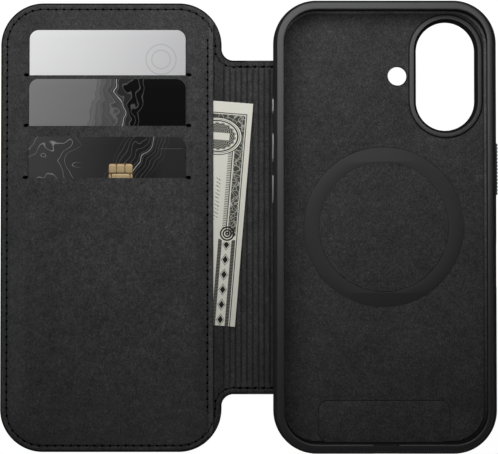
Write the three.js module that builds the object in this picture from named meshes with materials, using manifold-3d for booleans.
// Phone wallet case, lying open on its leather outer face. Millimetres, +Z up.
// X runs across the open case: cover (-X), spine, phone tray (+X). Y runs along its length.
// Three rigid groups fold about two lines parallel to Y: tray | spine | cover.

import * as THREE from 'three';
import { mergeVertices } from 'three/addons/utils/BufferGeometryUtils.js';
import { ConvexGeometry } from 'three/addons/geometries/ConvexGeometry.js';
import Module from 'manifold-3d';

const wasm = await Module();
wasm.setup();

// ---------------------------------------------------------------- driving dimensions

const phone = { width: 71.5, length: 149.6, thickness: 8.0 };
const phonePlay = 0.15;
const wall = { side: 2.45, end: 2.8 };
const cornerRadius = 14.8;
const layerGap = 0.05; // between flat layers that lie on each other
const fitGap = 0.3; // between pieces let into each other
const buttonProud = 0.5;

const tray = {
  halfWidth: phone.width / 2 + phonePlay + wall.side,
  halfLength: phone.length / 2 + phonePlay + wall.end,
  height: 12,
};
const cover = { width: 76.5, halfLength: 77.7 };
const spine = { width: 17.8, halfLength: 57.65, fillet: 4.1 };

const totalWidth = cover.width + spine.width + 2 * tray.halfWidth + buttonProud;
const coverLeft = -totalWidth / 2;
const coverRight = coverLeft + cover.width;
const trayLeft = coverRight + spine.width;
const trayX = trayLeft + tray.halfWidth;
const trayRight = trayLeft + 2 * tray.halfWidth;

// The fold lines stand a little way in from the tray's wall and from the cover's edge.
const foldSetback = 1.5;
const foldGap = 0.4; // cleared on each side of a fold line
const trayFoldX = trayLeft - foldSetback;
const coverFoldX = coverRight + foldSetback;

// Layers of the flat leather work, as [low, high] in Z.
const layer = {
  leather: [0, 0.9],
  board: [0.95, 1.35],
  lining: [1.4, 1.8],
  banknote: [1.85, 2.0],
  backing: [2.05, 2.3],
  face: [2.35, 2.65],
};

// Layers of the phone tray's floor.
const floor = {
  shell: [1.0, 2.15],
  magnet: [1.4, 2.1],
  lining: [2.2, 2.6],
  inlay: [2.2, 2.5],
};

// ---------------------------------------------------------------- helpers

const colours = {
  leather: 0x2b2b2d,
  suede: 0x3a3a3d,
  rubber: 0x1d1d1f,
  shell: 0x232325,
  inlay: 0x1c1c1e,
  board: 0x8d8474,
  magnet: 0xb9bcc0,
  button: 0xa8abb0,
  cardSilver: 0xc9cbcf,
  cardGrey: 0x5a5b5e,
  cardGraphite: 0x3b3b40,
  paper: 0xe2ddca,
};

const group = new THREE.Group();

function add(name, geometry, colour, roughness = 0.8, metalness = 0) {
  const material = new THREE.MeshStandardMaterial({ color: colour, roughness, metalness });
  const mesh = new THREE.Mesh(geometry, material);
  mesh.name = name;
  group.add(mesh);
}

function toSolid(geometry) {
  const bare = geometry.clone();
  bare.deleteAttribute('normal');
  bare.deleteAttribute('uv');
  const merged = mergeVertices(bare, 1e-4);
  const vertProperties = new Float32Array(merged.attributes.position.array);
  const triVerts = new Uint32Array(merged.index.array);
  return new wasm.Manifold(new wasm.Mesh({ numProp: 3, vertProperties, triVerts }));
}

function toGeometry(solid) {
  const mesh = solid.getMesh();
  const geometry = new THREE.BufferGeometry();
  geometry.setAttribute('position', new THREE.BufferAttribute(new Float32Array(mesh.vertProperties), 3));
  geometry.setIndex(new THREE.BufferAttribute(new Uint32Array(mesh.triVerts), 1));
  geometry.computeVertexNormals();
  return geometry;
}

function cut(geometry, ...tools) {
  return toGeometry(tools.reduce((solid, tool) => solid.subtract(toSolid(tool)), toSolid(geometry)));
}

function join(geometry, ...others) {
  return toGeometry(others.reduce((solid, other) => solid.add(toSolid(other)), toSolid(geometry)));
}

function keepInside(geometry, tool) {
  return toGeometry(toSolid(geometry).intersect(toSolid(tool)));
}

function box(xLow, xHigh, yLow, yHigh, zLow, zHigh) {
  const geometry = new THREE.BoxGeometry(xHigh - xLow, yHigh - yLow, zHigh - zLow);
  return geometry.translate((xLow + xHigh) / 2, (yLow + yHigh) / 2, (zLow + zHigh) / 2);
}

function slab(shape, [zLow, zHigh], curveSegments = 8) {
  const options = { depth: zHigh - zLow, bevelEnabled: false, curveSegments };
  return new THREE.ExtrudeGeometry(shape, options).translate(0, 0, zLow);
}

/** A slab whose section lies in Y and Z, running along X. */
function bar(shape, xLow, xHigh, curveSegments = 6, bevel = 0) {
  const options = {
    depth: xHigh - xLow - 2 * bevel,
    bevelEnabled: bevel > 0,
    bevelThickness: bevel,
    bevelSize: bevel,
    bevelOffset: -bevel,
    bevelSegments: 2,
    curveSegments,
  };
  const turn = new THREE.Matrix4().makeBasis(
    new THREE.Vector3(0, 1, 0),
    new THREE.Vector3(0, 0, 1),
    new THREE.Vector3(1, 0, 0),
  );
  const geometry = new THREE.ExtrudeGeometry(shape, options);
  return geometry.translate(0, 0, bevel).applyMatrix4(turn).translate(xLow, 0, 0);
}

/** A slab whose section lies in X and Z, running along Y. */
function rail(shape, yLow, yHigh, curveSegments = 6) {
  const options = { depth: yHigh - yLow, bevelEnabled: false, curveSegments };
  const geometry = new THREE.ExtrudeGeometry(shape, options);
  return geometry.rotateX(Math.PI / 2).translate(0, yHigh, 0);
}

function roundedRect(x, y, halfX, halfY, radius) {
  const shape = new THREE.Shape();
  shape.moveTo(x - halfX + radius, y - halfY);
  shape.absarc(x + halfX - radius, y - halfY + radius, radius, -Math.PI / 2, 0);
  shape.absarc(x + halfX - radius, y + halfY - radius, radius, 0, Math.PI / 2);
  shape.absarc(x - halfX + radius, y + halfY - radius, radius, Math.PI / 2, Math.PI);
  shape.absarc(x - halfX + radius, y - halfY + radius, radius, Math.PI, 1.5 * Math.PI);
  return shape;
}

function circle(x, y, radius) {
  return new THREE.Shape().absarc(x, y, radius, 0, 2 * Math.PI);
}

/** A closed ring: one outline for each row of the wall's section, each joined to the next. */
function ringSolid(rows, outlineOf) {
  const rings = rows.map((row) => outlineOf(row));
  const count = rings[0].length;
  const position = rings.flatMap((ring, r) => ring.flatMap((p) => [p.x, p.y, rows[r].z]));
  const index = [];
  for (let r = 0; r < rings.length; r += 1) {
    const above = (r + 1) % rings.length;
    for (let i = 0; i < count; i += 1) {
      const next = (i + 1) % count;
      const [a, b, c, d] = [r * count + i, r * count + next, above * count + next, above * count + i];
      index.push(a, b, c, a, c, d);
    }
  }
  const geometry = new THREE.BufferGeometry();
  geometry.setAttribute('position', new THREE.Float32BufferAttribute(position, 3));
  geometry.setIndex(index);
  return geometry;
}

function outlinePoints(shape, segments) {
  const points = shape.getPoints(segments);
  const closed = points[0].distanceTo(points[points.length - 1]) < 1e-6;
  return closed ? points.slice(0, -1) : points;
}

// ---------------------------------------------------------------- outlines

/** Cover and spine as one flat outline, drawn in by an inset and running under the tray's wall. */
function folioOutline(inset) {
  const [left, right] = [coverLeft + inset, coverRight - inset];
  const [top, radius] = [cover.halfLength - inset, cornerRadius - inset];
  const [neck, fillet] = [spine.halfLength - inset, spine.fillet + inset];
  const end = trayLeft + cornerRadius;
  const shape = new THREE.Shape();
  shape.moveTo(left + radius, -top);
  shape.absarc(right - radius, -top + radius, radius, -Math.PI / 2, 0);
  shape.absarc(right + fillet, -neck - fillet, fillet, Math.PI, Math.PI / 2, true);
  shape.lineTo(end, -neck);
  shape.lineTo(end, neck);
  shape.absarc(right + fillet, neck + fillet, fillet, -Math.PI / 2, -Math.PI, true);
  shape.absarc(right - radius, top - radius, radius, 0, Math.PI / 2);
  shape.absarc(left + radius, top - radius, radius, Math.PI / 2, Math.PI);
  shape.absarc(left + radius, -top + radius, radius, Math.PI, 1.5 * Math.PI);
  return shape;
}

function trayOutline(side, end = side) {
  return roundedRect(trayX, 0, tray.halfWidth - side, tray.halfLength - end, cornerRadius - side);
}

/** The part of a geometry between two places along X. */
function between(geometry, xLow, xHigh) {
  const reach = tray.halfLength + 10;
  return keepInside(geometry, box(xLow, xHigh, -reach, reach, -10, tray.height + 10));
}

// ---------------------------------------------------------------- openings of the tray

const camera = { x: trayX + 21.5, y: 52.3, halfWidth: 10.1, halfLength: 18.8, rim: 2.8 };
const flash = { x: trayX + 4.8, y: 52.4, radius: 3.25, rim: 0.35 };

function cameraOutline(offset) {
  const halfWidth = camera.halfWidth + offset;
  return roundedRect(camera.x, camera.y, halfWidth, camera.halfLength + offset, halfWidth - 0.01);
}

/** Through-cuts that let the two bezels into a floor layer. */
function bezelCuts() {
  const through = [-1, tray.height];
  return [
    slab(cameraOutline(camera.rim + fitGap / 2), through, 12),
    slab(circle(flash.x, flash.y, flash.radius + flash.rim + fitGap / 2), through, 20),
  ];
}

// ---------------------------------------------------------------- phone tray

const lipTop = tray.height;
const phoneTop = floor.lining[1] + phone.thickness;
const flangeInset = 5.5;
const liningInset = 3.65;

/** The bumper wall's section: inset from the widest outline at the sides and at the ends. */
const bumperRows = [
  { side: flangeInset, end: flangeInset, z: floor.shell[0] },
  { side: 1.1, end: 1.1, z: floor.shell[0] },
  { side: 0.5, end: 0.5, z: 1.9 },
  { side: 0.12, end: 0.12, z: 3.6 },
  { side: 0, end: 0, z: lipTop / 2 },
  { side: 0.12, end: 0.12, z: lipTop - 3.6 },
  { side: 0.5, end: 0.5, z: lipTop - 1.9 },
  { side: 1.0, end: 1.0, z: lipTop - 0.8 },
  { side: 1.7, end: 1.7, z: lipTop - 0.1 },
  { side: 2.3, end: 2.3, z: lipTop },
  { side: 3.2, end: 3.3, z: lipTop - 0.1 },
  { side: 3.65, end: 3.8, z: lipTop - 0.45 },
  { side: 3.75, end: 3.9, z: lipTop - 0.9 },
  { side: 3.5, end: 3.7, z: phoneTop + 0.1 },
  { side: wall.side, end: wall.end, z: phoneTop },
  { side: wall.side, end: wall.end, z: floor.lining[1] + 1.3 },
  { side: 2.85, end: 3.05, z: floor.lining[1] + 0.4 },
  { side: liningInset - 0.1, end: liningInset - 0.1, z: floor.lining[1] },
  { side: liningInset - 0.1, end: liningInset - 0.1, z: floor.shell[1] },
  { side: flangeInset, end: flangeInset, z: floor.shell[1] },
];

const buttonHeight = 3.0;
const buttonZ = 6.4;
const buttonPlay = 0.2;
const leftButtons = [
  { name: 'action_button', y: 41.6, length: 5.6 },
  { name: 'volume_up_button', y: 27.3, length: 10.1 },
  { name: 'volume_down_button', y: 13.0, length: 9.9 },
];
const powerButton = { y: 19.7, length: 18.0, ridges: 15, ridgeDepth: 0.3 };

function buttonSection(y, length, play = 0) {
  const halfHeight = buttonHeight / 2 + play;
  return roundedRect(y, buttonZ, length / 2 + play, halfHeight, halfHeight - 0.01);
}

function buttonCuts() {
  const left = leftButtons.map(({ y, length }) =>
    bar(buttonSection(y, length, buttonPlay), trayLeft - 1, trayLeft + 2 * wall.side));
  const square = roundedRect(
    powerButton.y, buttonZ, powerButton.length / 2 + buttonPlay, buttonHeight / 2 + buttonPlay, 0.3);
  return [...left, bar(square, trayRight - 2 * wall.side, trayRight + 1)];
}

/** Slot in the right wall over the phone's touch key. */
function touchKeyCut() {
  return bar(roundedRect(-13, buttonZ, 8.5, 1.9, 1.85), trayRight - 2 * wall.side, trayRight + 1);
}

const port = { halfWidth: 5, low: 3.4, high: 9.6, notchHalfWidth: 4.4 };

/** Cuts in the bottom wall: plug opening, the notch above it, and the sound holes beside it. */
function bottomCuts() {
  const outer = -tray.halfLength - 1;
  const inner = -tray.halfLength + 2 * wall.end;
  const midHeight = (port.low + port.high) / 2;
  const halfHeight = (port.high - port.low) / 2;
  const opening = rail(roundedRect(trayX, midHeight, port.halfWidth, halfHeight, 1.6), outer, inner);
  const notch = box(
    trayX - port.notchHalfWidth, trayX + port.notchHalfWidth,
    -tray.halfLength + 3.1, inner, phoneTop - 0.5, lipTop + 1);
  const holes = [];
  for (const side of [-1, 1]) {
    for (let i = 0; i < 5; i += 1) {
      const x = trayX + side * (11 + 2.7 * i);
      holes.push(rail(circle(x, midHeight, 0.85), outer, inner, 5));
    }
  }
  return [opening, notch, ...holes];
}

function topMicrophoneCut() {
  return rail(circle(trayX - 8, 6.5, 0.8), tray.halfLength - 2 * wall.end, tray.halfLength + 1, 5);
}

function addTrayShells() {
  const bumper = ringSolid(bumperRows, (row) => outlinePoints(trayOutline(row.side, row.end), 8));
  add('bumper_frame', cut(bumper, ...bezelCuts(), ...buttonCuts(), touchKeyCut(), ...bottomCuts(),
    topMicrophoneCut()), colours.rubber, 0.45);

  const tab = box(trayFoldX + foldGap, trayLeft + 6, -spine.halfLength, spine.halfLength, ...layer.leather);
  add('tray_leather', cut(join(slab(trayOutline(0.7), layer.leather), tab), ...bezelCuts()),
    colours.leather, 0.7);

  const plate = slab(trayOutline(flangeInset + fitGap), floor.shell);
  add('back_shell', cut(plate, ...bezelCuts(), magnetChannel(), alignmentPocket()), colours.shell, 0.5);
}

// Magnet ring in the tray's floor.
const ring = { inner: 22.45, outer: 27.65, magnets: 16, magnetInner: 23, magnetOuter: 27.1 };
const alignment = { y: -38.5, halfWidth: 3.05, halfLength: 9.5 };
const patch = { halfWidth: 22.7, low: -74.0, high: -60.0, corner: 3.4 };

function annulus(inner, outer, zRange, start = 0, sweep = 2 * Math.PI, segments = 24) {
  const shape = new THREE.Shape();
  if (sweep > 6.28) {
    shape.absarc(trayX, 0, outer, 0, 2 * Math.PI);
    shape.holes.push(new THREE.Path().absarc(trayX, 0, inner, 0, 2 * Math.PI, true));
  } else {
    shape.absarc(trayX, 0, outer, start, start + sweep);
    shape.absarc(trayX, 0, inner, start + sweep, start, true);
  }
  return slab(shape, zRange, segments);
}

function magnetChannel() {
  return annulus(ring.inner, ring.outer, [floor.magnet[0] - layerGap, floor.shell[1] + 1]);
}

function alignmentPocket() {
  const { y, halfWidth, halfLength } = alignment;
  return box(trayX - halfWidth - fitGap, trayX + halfWidth + fitGap, y - halfLength - fitGap,
    y + halfLength + fitGap, floor.magnet[0] - layerGap, floor.shell[1] + 1);
}

function addMagnets() {
  const step = (2 * Math.PI) / ring.magnets;
  const gap = fitGap / ring.magnetInner;
  for (let i = 0; i < ring.magnets; i += 1) {
    const arc = annulus(ring.magnetInner, ring.magnetOuter, floor.magnet, i * step + gap, step - 2 * gap, 4);
    add(`ring_magnet_${String(i + 1).padStart(2, '0')}`, arc, colours.magnet, 0.3, 1);
  }
  const { y, halfWidth, halfLength } = alignment;
  add('alignment_magnet', box(trayX - halfWidth, trayX + halfWidth, y - halfLength, y + halfLength,
    ...floor.magnet), colours.magnet, 0.3, 1);
}

function patchOutline(grow) {
  const middle = (patch.low + patch.high) / 2;
  const halfLength = (patch.high - patch.low) / 2 + grow;
  return roundedRect(trayX, middle, patch.halfWidth + grow, halfLength, patch.corner + grow);
}

function addTrayFloor() {
  const play = 0.1;
  const sheet = slab(trayOutline(liningInset), floor.lining);
  const hole = slab(circle(trayX, 0, ring.outer + play), [0, 5], 24);
  const patchHole = slab(patchOutline(play), [0, 5], 4);
  const belowPatch = box(trayX - patch.halfWidth - play, trayX + patch.halfWidth + play,
    -tray.halfLength, patch.low + patch.corner + 1, 0, 5);
  add('tray_lining', cut(sheet, ...bezelCuts(), hole, patchHole, belowPatch), colours.suede, 0.95);
  add('tray_lining_disc', slab(circle(trayX, 0, ring.inner - play), floor.lining, 24), colours.suede, 0.95);
  add('magnet_ring_cover', annulus(ring.inner, ring.outer, floor.inlay), colours.inlay, 0.5);
  add('floor_patch', slab(patchOutline(0), floor.inlay, 4), colours.inlay, 0.6);
}

/** A rounded rim around an opening, from the leather's face to a little above the lining. */
function bezel(outlineAt, rim, segments) {
  const top = floor.lining[1] + 0.7;
  const chamfer = Math.min(0.3, rim / 4);
  const rows = [
    { offset: 0, z: chamfer },
    { offset: chamfer, z: 0 },
    { offset: rim, z: 0 },
    { offset: rim, z: top - chamfer },
    { offset: rim - chamfer, z: top },
    { offset: chamfer, z: top },
    { offset: 0, z: top - chamfer },
  ];
  return ringSolid(rows, (row) => outlinePoints(outlineAt(row.offset), segments));
}

function addBezels() {
  add('camera_bezel', bezel(cameraOutline, camera.rim, 12), colours.rubber, 0.45);
  const flashOutline = (offset) => circle(flash.x, flash.y, flash.radius + offset);
  add('flash_bezel', bezel(flashOutline, flash.rim, 20), colours.rubber, 0.45);
}

// ---------------------------------------------------------------- buttons

function addButtons() {
  const depth = 2.75;
  for (const { name, y, length } of leftButtons) {
    const outer = trayLeft - buttonProud;
    add(name, bar(buttonSection(y, length), outer, outer + depth, 5, 0.25), colours.button, 0.3, 1);
  }
  const outer = trayRight + buttonProud;
  const { y, length, ridges, ridgeDepth } = powerButton;
  const pitch = length / ridges;
  const shape = new THREE.Shape();
  shape.moveTo(outer - depth, y - length / 2);
  for (let i = 0; i < ridges; i += 1) {
    const low = y - length / 2 + i * pitch;
    shape.lineTo(outer - ridgeDepth, low);
    shape.lineTo(outer, low + 0.25 * pitch);
    shape.lineTo(outer, low + 0.6 * pitch);
    shape.lineTo(outer - ridgeDepth, low + 0.85 * pitch);
  }
  shape.lineTo(outer - ridgeDepth, y + length / 2);
  shape.lineTo(outer - depth, y + length / 2);
  add('power_button', slab(shape, [buttonZ - buttonHeight / 2, buttonZ + buttonHeight / 2]),
    colours.button, 0.3, 1);
}

// ---------------------------------------------------------------- spine

const rib = { pitch: 2.0, depth: 0.25, width: 0.5 };

/** The spine's lining, with grooves along Y that let it bend. */
function ribbedSection(xLow, xHigh) {
  const [bottom, top] = layer.lining;
  const middle = (trayLeft + coverRight) / 2;
  const reach = Math.floor((xHigh - middle - rib.width) / rib.pitch);
  const shape = new THREE.Shape();
  shape.moveTo(xHigh, bottom);
  shape.lineTo(xHigh, top);
  for (let i = reach; i >= -reach; i -= 1) {
    const x = middle + i * rib.pitch;
    shape.lineTo(x + rib.width / 2, top);
    shape.lineTo(x, top - rib.depth);
    shape.lineTo(x - rib.width / 2, top);
  }
  shape.lineTo(xLow, top);
  shape.lineTo(xLow, bottom);
  return shape;
}

function addSpine() {
  const [low, high] = [coverFoldX + foldGap, trayFoldX - foldGap];
  const edgeInset = 0.5;
  add('spine_leather', between(slab(folioOutline(0), layer.leather), low, high), colours.leather, 0.7);
  add('spine_interliner', between(slab(folioOutline(2.6), layer.board), low, high), colours.board, 0.9);
  const ribs = rail(ribbedSection(low, high), -spine.halfLength - 8, spine.halfLength + 8);
  add('spine_lining', keepInside(ribs, slab(folioOutline(edgeInset), [0, 3])), colours.suede, 0.95);
}

// ---------------------------------------------------------------- cover and pocket panel

const cardSize = { width: 53.98, length: 85.6, thickness: 0.76, corner: 3.18 };
const cardX = (coverLeft + coverRight) / 2 - 1.2;
const slitHalf = 27.86;
const cardPlay = 0.3;
const sheetThickness = 0.25;
const cards = [
  { name: 'card_back', slitY: 52.5, top: 68.2, colour: colours.cardSilver },
  { name: 'card_middle', slitY: 34.85, top: 51.1, colour: colours.cardGrey },
  { name: 'card_front', slitY: 16.8, top: 31.0, colour: colours.cardGraphite },
];
const cardRise = cardSize.thickness + sheetThickness + 0.09; // from one card to the next
cards.forEach((card, i) => {
  card.low = layer.face[1] + layerGap + i * cardRise;
  card.high = card.low + cardSize.thickness;
  card.bottom = card.top - cardSize.length;
});
const frontTop = cards[2].high + 0.39;

const panelRight = coverRight - 2.85;

function addCover() {
  const edge = coverFoldX - foldGap;
  add('cover_leather', between(slab(folioOutline(0), layer.leather), coverLeft - 1, edge),
    colours.leather, 0.7);
  add('cover_board', between(slab(folioOutline(2.6), layer.board), coverLeft, coverRight - 2.6),
    colours.board, 0.9);
  add('cover_lining', between(slab(folioOutline(0.5), layer.lining), coverLeft, edge), colours.suede, 0.95);
  add('pocket_backing', between(slab(folioOutline(0.9), layer.backing), coverLeft, panelRight - 0.4),
    colours.suede, 0.95);
}

/** A flat-topped swelling of the panel over the cards, upright at its slit and sloping elsewhere. */
function swelling(slitY, topZ) {
  const base = layer.face[0] + 0.1;
  const low = cards[2].bottom - 3;
  const points = [];
  for (const side of [-1, 1]) {
    points.push(new THREE.Vector3(cardX + side * 33, low - 8, base));
    points.push(new THREE.Vector3(cardX + side * 33, slitY, base));
    points.push(new THREE.Vector3(cardX + side * 30.5, low, topZ));
    points.push(new THREE.Vector3(cardX + side * 30.5, slitY, topZ));
  }
  return new ConvexGeometry(points);
}

/** The room a card needs: its pocket, open towards +Y. */
function cardRoom(card, zLow, zHigh, yHigh = tray.halfLength + 5) {
  const half = cardSize.width / 2 + cardPlay;
  return box(cardX - half, cardX + half, card.bottom - cardPlay, yHigh, zLow, zHigh);
}

/** The panel's face: one sheet with three slits, swelling over the cards that lie behind it. */
function addPocketFace() {
  const sheet = between(slab(folioOutline(0.5), layer.face), coverLeft, panelRight);
  const tops = [cards[1].low - layerGap, cards[2].low - layerGap, frontTop];
  const swellings = cards.map((card, i) => swelling(card.slitY, tops[i]));
  const rooms = cards.map((card) => cardRoom(card, card.low - layerGap, card.high + 0.04));
  // Behind the next slit a liner sheet lies between two cards, in a node of its own.
  const linerRooms = [cards[1], cards[2]].map((card, i) =>
    cardRoom(cards[i + 1], cards[i].high, card.low, card.slitY));
  add('pocket_face', cut(join(sheet, ...swellings), ...rooms, ...linerRooms), colours.suede, 0.9);
}

function addCardLiners() {
  const half = cardSize.width / 2;
  [cards[1], cards[2]].forEach((card, i) => {
    const zLow = cards[i].high + 0.04;
    add(`card_liner_${i + 1}`, box(cardX - half, cardX + half, card.bottom, card.slitY - 0.5, zLow,
      zLow + sheetThickness), colours.suede, 0.95);
  });
}

function addCards() {
  for (const card of cards) {
    const { width, length, corner } = cardSize;
    const outline = roundedRect(cardX, card.top - length / 2, width / 2, length / 2, corner);
    add(card.name, slab(outline, [card.low, card.high], 6), card.colour, 0.35);
  }
}

// ---------------------------------------------------------------- banknote

const note = { width: 66.3, length: 77.5, turn: THREE.MathUtils.degToRad(-4.7), cornerX: 1.7, cornerY: 42.7 };

/** One folded note in the pocket behind the panel, made in two pieces that part at the fold line. */
function addBanknote() {
  const gap = 2 * foldGap; // it lies higher above the fold line than the lining does
  const sheet = box(-note.width, 0, -note.length, 0, ...layer.banknote);
  sheet.rotateZ(note.turn).translate(note.cornerX, note.cornerY, 0);
  add('banknote_pocket_part', between(sheet, coverLeft, coverFoldX - gap), colours.paper, 0.9);
  add('banknote_spine_part', between(sheet, coverFoldX + gap, trayFoldX), colours.paper, 0.9);
}

// ---------------------------------------------------------------- assembly

addTrayShells();
addMagnets();
addTrayFloor();
addBezels();
addButtons();
addSpine();
addCover();
addPocketFace();
addCardLiners();
addCards();
addBanknote();

export default group;
